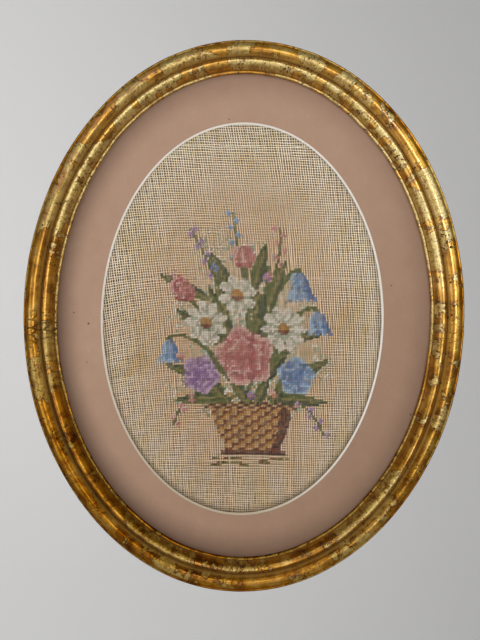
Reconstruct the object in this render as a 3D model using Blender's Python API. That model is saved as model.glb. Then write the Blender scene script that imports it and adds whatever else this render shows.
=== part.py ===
# Oval gilt frame with a petit point canvas behind an oval mount board.
# It hangs upright with its flat back at Y = 0 and its face towards -Y. The origin is on the
# flat back, at the top centre of the moulding. Metres, +Z up.

import math

import bmesh
import bpy

# Moulding, seen from the front
frame_half_width = 0.132
frame_half_height = 0.165
moulding_width = 0.020
wall_point_inset = 0.007

# What lies in the rabbet, from the back to the front, each piece a little clear of the next
piece_gap = 0.0003
board_thickness = 0.0025
canvas_thickness = 0.0015
mount_thickness = 0.0014
rabbet_width = 0.006
rabbet_clearance = 0.001

# Moulding section: distances in from the outer edge, heights above the flat back
back_edge_round = 0.0008
edge_fillet_width = 0.0015
edge_fillet_height = 0.0090
outer_bead_foot = (0.0017, 0.0083)
outer_bead_side = (0.0018, 0.0122)
outer_bead_crest = (0.0053, 0.0172)
cove_start = (0.0093, 0.0134)
cove_bottom = (0.0102, 0.0124)
cove_end = (0.0114, 0.0131)
inner_bead_crest = (0.0129, 0.0152)
inner_bead_foot = (0.0180, 0.0095)
lip_radius = 0.0010
lip_height = 0.0103

# Ovals inside the frame
window_half_width = 0.085
window_half_height = 0.118
window_offset_x = -0.001
window_offset_z = -0.002
canvas_lap = 0.012
cut_margin = 0.0005

oval_points = 96
weld_distance = 0.00001

oval_centre_z = wall_point_inset - frame_half_height
board_back = piece_gap
canvas_back = board_back + board_thickness + piece_gap
mount_back = canvas_back + canvas_thickness + piece_gap
rabbet_depth = mount_back + mount_thickness + piece_gap
rabbet_wall = moulding_width - rabbet_width


def collection(name):
    made = bpy.data.collections.new(name)
    bpy.context.scene.collection.children.link(made)
    return made


def material(name, colour, roughness, metallic=0.0):
    made = bpy.data.materials.new(name)
    made.use_nodes = True
    shader = made.node_tree.nodes["Principled BSDF"]
    shader.inputs["Base Color"].default_value = (*colour, 1.0)
    shader.inputs["Roughness"].default_value = roughness
    shader.inputs["Metallic"].default_value = metallic
    return made


def oval(half_width, half_height, offset_x=0.0, offset_z=0.0):
    """Points round an oval, anticlockwise as seen from the front."""
    turns = [2 * math.pi * i / oval_points for i in range(oval_points)]
    return [
        (offset_x + half_width * math.cos(t), offset_z + half_height * math.sin(t))
        for t in turns
    ]


def arc(centre, across, up, start, end, steps):
    """Points along part of an ellipse without its first point, angles in degrees."""
    turns = [math.radians(start + (end - start) * i / steps) for i in range(1, steps + 1)]
    return [
        (centre[0] + across * math.cos(t), centre[1] + up * math.sin(t)) for t in turns
    ]


def bead(start, crest, end, steps):
    """A rounded ridge from one foot over its crest to the other foot."""
    rise = arc((crest[0], start[1]), crest[0] - start[0], crest[1] - start[1], 180, 90, steps)
    fall = arc((crest[0], end[1]), end[0] - crest[0], crest[1] - end[1], 90, 0, steps)
    return rise + fall


def cove(start, bottom, end, steps):
    """A rounded hollow from one edge down to its bottom and up to the other edge."""
    fall = arc(
        (bottom[0], start[1]), bottom[0] - start[0], start[1] - bottom[1], 180, 270, steps
    )
    rise = arc((bottom[0], end[1]), end[0] - bottom[0], end[1] - bottom[1], 270, 360, steps)
    return fall + rise


def moulding_section():
    """The moulding's outline, as distances in from the outer edge and heights."""
    fillet_radius = edge_fillet_width / 2
    fillet_centre = (fillet_radius, edge_fillet_height - fillet_radius)
    lip_centre = (moulding_width - lip_radius, lip_height - lip_radius)
    outline = [(back_edge_round, 0.0), (0.0, back_edge_round), (0.0, fillet_centre[1])]
    outline += arc(fillet_centre, fillet_radius, fillet_radius, 180, 0, 4)
    outline += [outer_bead_foot, outer_bead_side]
    outline += bead(outer_bead_side, outer_bead_crest, cove_start, 6)
    outline += cove(cove_start, cove_bottom, cove_end, 2)
    outline += bead(cove_end, inner_bead_crest, inner_bead_foot, 5)
    outline += arc(lip_centre, lip_radius, lip_radius, 165, 0, 5)
    outline += [(moulding_width, rabbet_depth), (rabbet_wall, rabbet_depth)]
    outline += [(rabbet_wall, 0.0)]
    return outline


def closed_curve(name, points, where):
    """A flat closed curve through the points, straight from each to the next."""
    curve = bpy.data.curves.new(name, "CURVE")
    curve.dimensions = "2D"
    line = curve.splines.new("POLY")
    line.points.add(len(points) - 1)
    for point, (x, y) in zip(line.points, points):
        point.co = (x, y, 0.0, 1.0)
    line.use_cyclic_u = True
    made = bpy.data.objects.new(name, curve)
    where.objects.link(made)
    return made


def stand_up(made, height):
    """Turns a shape drawn flat to face the front, at this height above the flat back."""
    made.rotation_euler = (math.pi / 2, 0.0, 0.0)
    made.location = (0.0, -height, oval_centre_z)


def make_guide(made):
    made.hide_render = True
    made.display_type = "WIRE"


def oval_sheet(name, outline, thickness, back, finish, where):
    made = closed_curve(name, outline, where)
    made.data.fill_mode = "BOTH"
    made.data.extrude = thickness / 2
    made.data.materials.append(finish)
    stand_up(made, back + thickness / 2)
    return made


def as_mesh(made, where):
    """The same piece as a mesh with its caps welded, ready to be cut."""
    bpy.context.view_layer.update()
    graph = bpy.context.evaluated_depsgraph_get()
    mesh = bpy.data.meshes.new_from_object(made.evaluated_get(graph))
    name, place = made.name, made.matrix_world.copy()
    bpy.data.objects.remove(made)
    bm = bmesh.new()
    bm.from_mesh(mesh)
    bmesh.ops.remove_doubles(bm, verts=bm.verts, dist=weld_distance)
    bm.to_mesh(mesh)
    bm.free()
    solid = bpy.data.objects.new(name, mesh)
    solid.matrix_world = place
    where.objects.link(solid)
    return solid


def gilt_frame(finish, parts, guides):
    """One moulding swept round the oval, its outer edge on the path."""
    section = closed_curve("moulding_section", moulding_section(), guides)
    make_guide(section)
    path = oval(frame_half_width, frame_half_height)
    frame = closed_curve("gilt_frame", path, parts)
    frame.data.bevel_mode = "OBJECT"
    frame.data.bevel_object = section
    frame.data.materials.append(finish)
    stand_up(frame, 0.0)
    return frame


def window_cutter(guides):
    """An oval plug that widens by its own depth towards the front."""
    middle = mount_back + mount_thickness / 2
    bm = bmesh.new()
    bmesh.ops.create_cone(
        bm,
        cap_ends=True,
        segments=oval_points,
        radius1=1.0,
        radius2=1.0,
        depth=mount_thickness + 2 * cut_margin,
    )
    for side, grown in ((-1, -mount_thickness - cut_margin), (1, cut_margin)):
        size = (window_half_width + grown, window_half_height + grown, 1.0)
        ring = [v for v in bm.verts if v.co.z * side > 0]
        bmesh.ops.scale(bm, vec=size, verts=ring)
    bmesh.ops.translate(bm, vec=(window_offset_x, window_offset_z, 0.0), verts=bm.verts)
    mesh = bpy.data.meshes.new("window_cutter")
    bm.to_mesh(mesh)
    bm.free()
    cutter = bpy.data.objects.new("window_cutter", mesh)
    guides.objects.link(cutter)
    make_guide(cutter)
    stand_up(cutter, middle)
    return cutter


def mount_board(finish, parts, guides):
    """The oval card, its window cut at 45 degrees."""
    reach = rabbet_clearance + rabbet_wall
    outline = oval(frame_half_width - reach, frame_half_height - reach)
    sheet = oval_sheet("mount_board", outline, mount_thickness, mount_back, finish, parts)
    board = as_mesh(sheet, parts)
    cut = board.modifiers.new("window", "BOOLEAN")
    cut.operation = "DIFFERENCE"
    cut.object = window_cutter(guides)
    return board


def canvas(finish, parts):
    """The needlework, which laps behind the mount board all round its window."""
    outline = oval(
        window_half_width - mount_thickness + canvas_lap,
        window_half_height - mount_thickness + canvas_lap,
        window_offset_x,
        window_offset_z,
    )
    return oval_sheet("canvas", outline, canvas_thickness, canvas_back, finish, parts)


def backing_board(finish, parts):
    reach = rabbet_clearance + rabbet_wall
    outline = oval(frame_half_width - reach, frame_half_height - reach)
    return oval_sheet("backing_board", outline, board_thickness, board_back, finish, parts)


def main():
    for old in list(bpy.data.objects):
        bpy.data.objects.remove(old)
    parts = collection("framed_needlepoint")
    guides = collection("guides")
    gilt_frame(material("gilt", (0.50, 0.31, 0.09), 0.36, 0.9), parts, guides)
    mount_board(material("mount_card", (0.37, 0.24, 0.165), 0.9), parts, guides)
    canvas(material("cotton_canvas", (0.52, 0.41, 0.27), 0.9), parts)
    backing_board(material("brown_board", (0.15, 0.09, 0.045), 0.85), parts)


main()
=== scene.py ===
# A petit point posy behind an oval mount card, in an oval frame of gilded wood.
# Metres, +Z up, the picture faces -Y. A height is a distance in front of the flat back, so y = -height.
import functools
import math

import bpy
import numpy as np
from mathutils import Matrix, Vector, noise


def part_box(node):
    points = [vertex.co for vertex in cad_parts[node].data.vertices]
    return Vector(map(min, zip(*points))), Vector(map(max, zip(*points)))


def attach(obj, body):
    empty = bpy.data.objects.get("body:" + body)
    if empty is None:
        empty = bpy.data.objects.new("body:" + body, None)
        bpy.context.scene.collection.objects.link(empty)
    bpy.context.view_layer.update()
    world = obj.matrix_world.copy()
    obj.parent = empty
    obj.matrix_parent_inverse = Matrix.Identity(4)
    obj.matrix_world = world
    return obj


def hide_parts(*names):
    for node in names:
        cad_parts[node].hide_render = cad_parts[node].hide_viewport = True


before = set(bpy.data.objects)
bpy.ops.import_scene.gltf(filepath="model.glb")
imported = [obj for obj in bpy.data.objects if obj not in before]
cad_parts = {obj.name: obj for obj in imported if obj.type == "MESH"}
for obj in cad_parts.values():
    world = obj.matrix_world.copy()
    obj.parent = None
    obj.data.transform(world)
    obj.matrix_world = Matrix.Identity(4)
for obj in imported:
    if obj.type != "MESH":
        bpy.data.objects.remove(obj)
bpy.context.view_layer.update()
print("frame loaded:", ", ".join(sorted(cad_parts)))


def nodeOval(node):
    # half width, half height, centre x, centre z, then the heights of its back and its face
    low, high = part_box(node)
    return (
        (high.x - low.x) / 2, (high.z - low.z) / 2, (high.x + low.x) / 2, (high.z + low.z) / 2,
        -high.y, -low.y,
    )


frameHalfWidth, frameHalfHeight, frameX, frameZ, _, frameDepth = nodeOval("gilt_frame")
cardHalfWidth, cardHalfHeight, cardX, cardZ, cardBack, cardFace = nodeOval("mount_board")
canvasHalfWidth, canvasHalfHeight, windowX, windowZ = nodeOval("canvas")[:4]


# Small tools

def linearColour(hexColour):
    # sRGB hex, as read off a paint card, turned to the linear values that a socket holds
    shares = [int(hexColour[i:i + 2], 16) / 255 for i in (1, 3, 5)]
    return [s / 12.92 if s <= 0.04045 else ((s + 0.055) / 1.055) ** 2.4 for s in shares] + [1.0]


def setInputs(node, *values, **named):
    # values go to the inputs in the order that the node shows them, a named one to the input of
    # that name; each is a number, a colour, a node, or a node with the name of its output
    shown = [s for s in node.inputs if s.enabled]
    byName = {s.name.replace(" ", "").lower(): s for s in shown}
    wanted = list(zip(shown, values)) + [(byName[name.lower()], value) for name, value in named.items()]
    for socket, value in wanted:
        if isinstance(value, bpy.types.Node):
            node.id_data.links.new(next(o for o in value.outputs if o.enabled), socket)
        elif isinstance(value, tuple) and isinstance(value[0], bpy.types.Node):
            node.id_data.links.new(value[0].outputs[value[1]], socket)
        else:
            socket.default_value = linearColour(value) if isinstance(value, str) else value


def addNode(tree, kind, settings, *values, stops=(), **named):
    node = tree.nodes.new("ShaderNode" + kind)
    node.location = (180 * (len(tree.nodes) % 9) - 1900, -260 * (len(tree.nodes) // 9))
    for name, value in settings.items():
        setattr(node, name, value)
    setInputs(node, *values, **named)
    if stops:
        ramp = node.color_ramp.elements
        for place, _ in stops[1:-1]:
            ramp.new(place)
        ramp[0].position, ramp[len(ramp) - 1].position = stops[0][0], stops[-1][0]
        for element, (_, colour) in zip(ramp, stops):
            element.color = linearColour(colour)
    return node


# Settings that many nodes share
timesPlus = {"operation": "MULTIPLY_ADD"}
timesPlusClamped = {"operation": "MULTIPLY_ADD", "use_clamp": True}
times = {"operation": "MULTIPLY"}
timesClamped = {"operation": "MULTIPLY", "use_clamp": True}
minusClamped = {"operation": "SUBTRACT", "use_clamp": True}
blend = {"data_type": "RGBA"}
stain = {"data_type": "RGBA", "blend_type": "MULTIPLY"}
softly = {"interpolation_type": "SMOOTHSTEP"}


def newMaterial(name):
    # the material, its shader, and what adds a node to it
    material = bpy.data.materials.new(name)
    material.use_nodes = True
    tree = material.node_tree
    return material, tree.nodes["Principled BSDF"], functools.partial(addNode, tree)


def beginPiece(name):
    # the primitive that was just added becomes a piece of its own, with its place in its mesh
    piece = bpy.context.object
    piece.name = piece.data.name = name
    bpy.ops.object.transform_apply(location=True, rotation=True, scale=True)
    return piece


def points(piece):
    flat = np.empty(len(piece.data.vertices) * 3)
    piece.data.vertices.foreach_get("co", flat)
    return flat.reshape(-1, 3)


def movePoints(piece, x, y, z):
    moved = np.stack([x, y, z], axis=1).astype(np.float32)
    piece.data.vertices.foreach_set("co", moved.ravel())
    piece.data.update()


def giveAttribute(piece, name, values):
    kind, field = ("FLOAT_VECTOR", "vector") if values.ndim == 2 else ("FLOAT", "value")
    attribute = piece.data.attributes.new(name, kind, "POINT")
    attribute.data.foreach_set(field, np.ascontiguousarray(values, dtype=np.float32).ravel())


def selectAll():
    bpy.ops.object.mode_set(mode="EDIT")
    bpy.ops.mesh.select_all(action="SELECT")


def selectPoints(piece, chosen, kind="VERT"):
    # leaves the piece in edit mode with just these points, or the edges between them, selected
    bpy.ops.object.mode_set(mode="EDIT")
    bpy.ops.mesh.select_all(action="DESELECT")
    bpy.ops.object.mode_set(mode="OBJECT")
    if kind == "VERT":
        piece.data.vertices.foreach_set("select", np.asarray(chosen, dtype=bool))
    else:
        for edge in piece.data.edges:
            edge.select = all(chosen[i] for i in edge.vertices)
    bpy.ops.object.mode_set(mode="EDIT")
    bpy.ops.mesh.select_mode(type=kind)


def closeMesh(gap):
    # points closer than the gap are merged, and all faces turned outwards
    bpy.ops.mesh.select_all(action="SELECT")
    bpy.ops.mesh.remove_doubles(threshold=gap)
    bpy.ops.mesh.normals_make_consistent(inside=False)
    bpy.ops.object.mode_set(mode="OBJECT")


def finishPiece(piece, replaced=()):
    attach(piece, "root")
    if replaced:
        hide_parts(*replaced)


# The gilded moulding

moulding = {
    "width": 0.020,
    "backEdgeRound": 0.0008,
    "sidePoints": (0.0035, 0.0060),
    "filletWidth": 0.0015,
    "filletHeight": 0.0090,
    "outerFoot": (0.0017, 0.0083),
    "outerSide": (0.0018, 0.0122),
    "outerCrest": (0.0059, frameDepth),
    "coveBottom": (0.0104, 0.0125),
    "innerCrest": (0.0126, 0.0152),
    "innerFoot": (0.0180, 0.0095),
    "outerStraightness": (0.0, 0.35),
    "innerStraightness": (0.6, 0.5),
    "beadSteps": 10,
    "lipRadius": 0.0010,
    "lipHeight": 0.0103,
    "rabbetWidth": 0.0060,
    "rabbetDepth": 0.0066,
    "stepsRound": 640,
    "edgeStray": 0.00020,
    "edgeSwell": (0.00035, 0.0010, 0.0004, 0.0, 0.0009, 0.0004, 0.0002, 0.0006, 0.00035),
    "lipStray": 0.00016,
    "crestStray": 0.012,
    "dents": 0.00004,
    "dentSize": 0.009,
}

# Where paler leaf was laid over the old gilding, in hundredths of the way round, clockwise
# from the top, for the thin outer edge, the outer bead, the inner bead and the lip
paleLeaf = {
    "edge": ((0, 9), (14, 20), (30, 34.5), (39, 47), (55, 73.3), (76, 83), (87, 100)),
    "outer": ((3, 5.5), (6, 8.5), (12.2, 13), (15, 19.3), (27.3, 28), (39, 43), (50, 51),
              (53.5, 56), (69.5, 71.5), (80, 86.5), (90, 93), (94, 96.5), (99, 100)),
    "inner": ((0, 13), (17.5, 23.5), (27.5, 30), (34.5, 43.5), (50, 51.5), (53, 57.5),
              (70, 71.5), (72.5, 75.5), (80.5, 86), (89.5, 96.5), (99, 100)),
    "lip": ((1, 28), (34, 49), (59, 99)),
}
farOutside = -99.0  # millimetres, beyond the reach of any patch

# Where the gesso has cracked, in hundredths of the way round, with how far each way in metres
# and how deep
cracks = ((7.5, 0.009, 0.4), (26.0, 0.008, 0.3), (36.5, 0.011, 0.45), (50.5, 0.008, 0.4),
          (61.0, 0.006, 0.35), (73.8, 0.007, 0.9), (92.0, 0.009, 0.4))

# How deep the toning and the painted shade are at each bearing in degrees, clockwise from the top
toningAndShadeRound = {0: 0.28, 20: 0.14, 45: 0.0, 80: 0.04, 110: 0.20, 135: 0.40, 165: 0.44, 195: 0.50,
               215: 0.64, 240: 0.66, 270: 0.43, 300: 0.28, 330: 0.25, 360: 0.28}


def archPoints(centre, across, up, start, end, steps):
    # part of an ellipse without its first point, angles in degrees
    turns = [math.radians(start + (end - start) * i / steps) for i in range(1, steps + 1)]
    return [(centre[0] + across * math.cos(t), centre[1] + up * math.sin(t)) for t in turns]


def beadPoints(start, crest, end, straightness):
    # up over a crest and down again, either side a quarter oval, drawn more to a straight line
    # the nearer its foot is
    steps = moulding["beadSteps"]
    rise = archPoints((crest[0], start[1]), crest[0] - start[0], crest[1] - start[1], 180, 90, steps)
    fall = archPoints((crest[0], end[1]), end[0] - crest[0], crest[1] - end[1], 90, 0, steps)
    bead = []
    for side, low, share in ((rise, start, straightness[0]), (fall, end, straightness[1])):
        for inward, height in side:
            upward = (inward - low[0]) / (crest[0] - low[0])
            straight = low[1] + (crest[1] - low[1]) * upward
            bead.append((inward, height + (straight - height) * share * (1 - upward)))
    return bead


def mouldingSection():
    # distances in from the outer edge with heights, from the back edge over the face to the rabbet
    m = moulding
    corner, lip, fillet = m["backEdgeRound"], m["lipRadius"], m["filletWidth"] / 2
    filletFoot = m["filletHeight"] - fillet
    rabbetWall = m["width"] - m["rabbetWidth"]
    return [
        (corner, 0.0), *archPoints((corner, corner), corner, corner, 270, 180, 3),
        *[(0.0, height) for height in m["sidePoints"]], (0.0, filletFoot),
        *archPoints((fillet, filletFoot), fillet, fillet, 180, 0, 6),
        m["outerFoot"], m["outerSide"],
        *beadPoints(m["outerSide"], m["outerCrest"], m["coveBottom"], m["outerStraightness"]),
        *beadPoints(m["coveBottom"], m["innerCrest"], m["innerFoot"], m["innerStraightness"]),
        *archPoints((m["width"] - lip, m["lipHeight"] - lip), lip, lip, 165, 0, 7),
        (m["width"], m["rabbetDepth"]), (rabbetWall, m["rabbetDepth"]), (rabbetWall, 0.0),
    ]


def wave(turn, seed, size, fading, counts):
    # how far a hand-made line strays on its way round, as a few waves that close on themselves
    draw = np.random.default_rng(seed)
    return sum(
        size / count ** fading * np.sin(count * turn + draw.uniform(0, 2 * math.pi)) for count in counts
    )


def lengthRound(turn):
    # how far along the outer edge a turn lies, clockwise from the top, and the whole way round
    turns = np.linspace(0, 2 * math.pi, 4097)
    steps = np.hypot(
        np.diff(frameHalfWidth * np.sin(turns)), np.diff(frameHalfHeight * np.cos(turns))
    )
    lengths = np.concatenate([[0], np.cumsum(steps)])
    return np.interp(np.mod(turn, 2 * math.pi), turns, lengths), lengths[-1]


def leafDistance(along, perimeter, inward, patches, seed):
    # millimetres inside a patch of pale leaf, negative outside, its ends cut on a slant
    draw = np.random.default_rng(seed)
    best = np.full(len(along), farOutside)
    for start, end in patches:
        slants = draw.uniform(-1.3, 1.3, 2)
        fromStart = along - start / 100 * perimeter - slants[0] * inward
        fromEnd = end / 100 * perimeter - along - slants[1] * inward
        best = np.maximum(best, 1000 * np.minimum(fromStart, fromEnd))
    return best


def bump(inward, middle, reach):
    return np.exp(-((inward - middle) / reach) ** 2)


def toward(turn, bearing, power=1):
    # one at a bearing in degrees, falling to nothing a quarter of the way round from it
    return np.maximum(0, np.cos(turn - math.radians(bearing))) ** power


def toningAndShadeDepth(turn, inward):
    # how much of the leaf's brightness the toning and the painted shade take, round the oval and across
    # the moulding
    facing = np.maximum(0, 0.16 + 0.22 * np.cos(turn - math.radians(125)))
    towardGroove = np.maximum(0, 0.25 + 0.22 * np.cos(turn - math.radians(100)))
    across = 0.32 * (inward < moulding["filletWidth"])
    for amount, middle, reach in (
        (towardGroove, 0.0076, 0.0011),
        (0.08 + facing * 0.75, 0.0157, 0.0012),
        (0.35 * toward(turn, 45, 4), 0.0168, 0.0012),
        (0.6 * toward(turn, 225, 5), 0.0146, 0.0020),
        (0.45 * toward(turn, 225, 5), 0.0070, 0.0013),
        (facing + 0.35 * toward(turn, 185), 0.0196, 0.0008),
    ):
        across = across + amount * bump(inward, middle, reach)
    # painted highlight: less painted shade on the inner crest, most at the upper left, and on the outer
    # bead's side
    lessShade = (0.3 + 0.55 * toward(turn, 322, 4)) * bump(inward, moulding["innerCrest"][0], 0.0013)
    lessShade += 0.4 * bump(inward, 0.0028, 0.0012)
    overall = np.interp(turn, np.radians(list(toningAndShadeRound)), list(toningAndShadeRound.values())) * (1 - lessShade)
    return 1 - (1 - overall) * (1 - np.clip(across, 0, 0.85))


def gildedMaterial():
    # Water gilding over red clay on gesso, toned with shellac. Burnished, it is a streaky amber
    # mirror; where fresh leaf was laid on later it is paler, greener and only satin. The clay
    # and brown dirt show where it has worn or was never reached.
    material, shader, add = newMaterial("gilded wood")
    patch, hollow, toning, cracked, worn, varnish = (
        (add("Attribute", {"attribute_name": name}), "Fac")
        for name in ("paleLeaf", "hollow", "toning", "cracked", "worn", "varnish")
    )
    laid = (add("Attribute", {"attribute_name": "laidFlat"}), "Vector")
    tear = add("TexNoise", {}, laid, 1 / 0.006, 5.0, 0.62, distortion=0.6)
    cloud = add("TexNoise", {}, laid, 1 / 0.014, 3.0, 0.55)
    crinkle = add("TexNoise", {}, laid, 1 / 0.0014, 4.0, 0.7)
    streak = add("TexNoise", {}, add("Mapping", {}, laid, scale=(55.0, 55.0, 1500.0)), 1.0, 3.0, 0.6)
    torn = add("Math", timesPlus, cloud, -23.0, add("Math", timesPlus, tear, 16.0, 3.5))
    inside = add("Math", {"operation": "ADD"}, torn, patch)
    pale = add("MapRange", {}, inside, -0.2, 0.2)
    # glue has drawn dirt to its torn edges
    tornEdge = add("MapRange", {}, add("Math", {"operation": "ABSOLUTE"}, inside), 0.1, 0.8, 0.75, 0.0)
    tone = add("Mix", {"data_type": "FLOAT"}, 0.68, streak, cloud)
    amber = add("ValToRGB", {}, tone, stops=(
        (0.34, "#7E4A0E"), (0.45, "#BE8824"), (0.54, "#E2B044"), (0.66, "#F6D486"),
    ))
    fresh = add("ValToRGB", {}, crinkle, stops=(
        (0.30, "#A4843C"), (0.43, "#DCC272"), (0.55, "#F0DA94"), (0.72, "#FCF0C6"),
    ))
    # shellac that has pooled and crept darkens it in mottles a millimetre or two across
    pooled = add("TexNoise", {}, laid, 1 / 0.0048, 4.0, 0.6)
    mottle = add("MapRange", {}, pooled, 0.48, 0.62, 0.0, 0.6)
    shellac = add("Math", timesClamped, mottle, add("Math", timesPlus, toning, 1.2, 0.3))
    # toning and painted shade, deepest low down, to the left and on slopes that face the picture, darken
    # and yellow the leaf there
    warmth = add("Math", timesClamped, toning, 1.3)
    colour = add("Mix", blend, pale, amber, fresh)
    for amount, shade in (
        (shellac, "#A06A2E"), (tornEdge, "#8A5A26"), (warmth, "#FFE494"), (toning, "#4F3C14"),
    ):
        colour = add("Mix", stain, amount, colour, shade)
    # each sheet of leaf laps over the last one, which shows as a thin line across
    way = add("SeparateXYZ", {}, add("UVMap", {"uv_map": "along"}))
    slanted = add("Math", timesPlus, (way, "Y"), 0.16, (way, "X"))
    lapEdge = add(
        "TexVoronoi", {"voronoi_dimensions": "1D", "feature": "DISTANCE_TO_EDGE"},
        add("Math", timesPlus, tear, 0.0035, slanted), 1 / 0.016,
    )
    lap = add("MapRange", {}, lapEdge, 0.006, 0.024, 0.5, 0.0)
    # the gesso has cracked across in a few places, and dirt has filled the cracks
    flakes = add(
        "TexVoronoi", {"feature": "DISTANCE_TO_EDGE"},
        add("Mapping", {}, laid, scale=(1.0, 1.0, 0.45)), 1 / 0.0042,
    )
    crack = add("Math", timesClamped, add("MapRange", {}, flakes, 0.02, 0.10, 1.0, 0.0), cracked)
    # brown dirt in the hollows, and specks of it where the leaf is rough
    dirt = add("MapRange", {}, add("Math", timesPlus, crinkle, 0.7, hollow), 0.75, 1.2, 0.0, 0.85)
    dirtShade = add("Mix", blend, toning, "#A47E40", "#64491C")
    grit = add("TexNoise", {}, laid, 1 / 0.0013, 2.0, 0.5)
    crowd = add("TexNoise", {}, laid, 1 / 0.009, 2.0)
    speck = add("MapRange", {}, add("Math", timesPlus, crowd, 0.42, grit), 0.86, 0.90)
    # hands have worn the outer bead thin at the upper left, where pinkish clay shows through
    rubbing = add("TexNoise", {}, add("Mapping", {}, laid, scale=(130.0, 130.0, 420.0)), 1.0, 5.0, 0.7)
    rub = add("MapRange", {}, add("Math", timesPlus, worn, 0.17, rubbing), 0.64, 0.70, 0.0, 0.7)
    clay = add("Mix", blend, worn, "#7B3A1E", "#A87254")
    for amount, shade in (
        (lap, "#7A4A1E"), (rub, clay), (dirt, dirtShade), (speck, "#35230F"), (crack, "#452A10"),
    ):
        colour = add("Mix", blend, amount, colour, shade)
    covered = add("Math", {"operation": "MAXIMUM"}, speck, rub)
    uncovered = add("Math", {"operation": "MAXIMUM"}, crack, covered)
    bare = add("Math", timesPlusClamped, dirt, 0.75, uncovered)
    metal = add("Math", minusClamped, 0.93, bare)
    polish = add("Mix", {"data_type": "FLOAT"}, pale, 0.27, 0.36)
    dulled = add("Math", timesPlusClamped, bare, 0.25, polish)
    rough = add("Math", timesPlusClamped, streak, 0.12, dulled)
    # a clear varnish over the leaf, long gone where the toning, the painted shade and the dirt are
    shine = add("Math", minusClamped, varnish, bare)
    lumps = add("Math", timesPlus, tear, 1.6, crinkle)
    height = add("Math", times, lumps, add("MapRange", {}, pale, 0.0, 1.0, 0.15))
    for part, amount in ((crack, -1.5), (pooled, 0.2), (cloud, 1.6)):
        height = add("Math", timesPlus, part, amount, height)
    setInputs(
        shader, baseColor=colour, metallic=metal, roughness=rough, coatWeight=shine,
        coatRoughness=0.2, specularTint="#D69A48", normal=add("Bump", {}, 0.75, 0.00045, height=height),
    )
    return material


def rawWoodMaterial():
    # planed limewood, never finished behind: pale brown, dull, with faint grain up the frame
    material, shader, add = newMaterial("raw limewood")
    place = (add("TexCoord", {}), "Object")
    grainWay = add("Mapping", {}, place, scale=(700.0, 700.0, 35.0))
    grain = add("TexNoise", {}, grainWay, 1.0, 4.0, 0.6, distortion=0.4)
    patches = add("TexNoise", {}, place, 1 / 0.03, 3.0)
    mixed = add("Mix", {"data_type": "FLOAT"}, 0.45, grain, patches)
    colour = add("ValToRGB", {}, mixed, stops=((0.3, "#7A5A38"), (0.5, "#9C7A50"), (0.7, "#B9976A")))
    surface = add("Bump", {}, 0.4, 0.0002, height=grain)
    setInputs(shader, baseColor=colour, roughness=0.72, normal=surface)
    return material


def spinMoulding(section):
    # a circle's points take the places of the section, then spin once round
    bpy.ops.object.select_all(action="DESELECT")
    bpy.ops.mesh.primitive_circle_add(
        vertices=len(section), radius=moulding["width"] / 2, location=(frameHalfWidth, 0, 0),
        rotation=(math.pi / 2, 0, 0),
    )
    piece = beginPiece("gilt_moulding")
    inward, height = np.array(section).T
    movePoints(piece, frameHalfWidth - inward, -height, 0 * height)
    selectAll()
    bpy.ops.mesh.spin(
        steps=moulding["stepsRound"], angle=2 * math.pi, center=(0, 0, 0), axis=(0, 1, 0),
        use_auto_merge=True,
    )
    closeMesh(0.000001)
    return piece


def drawToOval(piece, turn, inward, height):
    # the round ring becomes the oval, with its section square to the edge all the way
    m = moulding
    edge = wave(turn, 3, m["edgeStray"], 0.5, (5, 8, 13))
    edge -= np.interp(turn, np.arange(9) * math.pi / 4, m["edgeSwell"])
    lip = wave(turn, 4, m["lipStray"], 0.3, (3, 7, 12, 19, 31, 47, 71))
    crest = wave(turn, 5, m["crestStray"], 0.4, (2, 5, 9, 16))
    share = np.clip(inward / m["width"], 0, 1)
    dent = np.array([noise.noise(Vector(p) / m["dentSize"]) for p in points(piece)]) * m["dents"]
    onFace = np.clip((height - m["rabbetDepth"]) / 0.002, 0, 1)
    strayed = inward + edge * (1 - share) ** 4 * (height > 0.002) + lip * share ** 3 * onFace
    raised = height + onFace * ((height - m["rabbetDepth"]) * crest + dent * 2 - 0.00015)
    x, z = np.sin(turn) * frameHalfWidth, np.cos(turn) * frameHalfHeight
    outX, outZ = np.sin(turn) / frameHalfWidth, np.cos(turn) / frameHalfHeight
    length = np.hypot(outX, outZ)
    movePoints(
        piece, frameX + x - strayed * outX / length, -raised, frameZ + z - strayed * outZ / length,
    )


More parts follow.
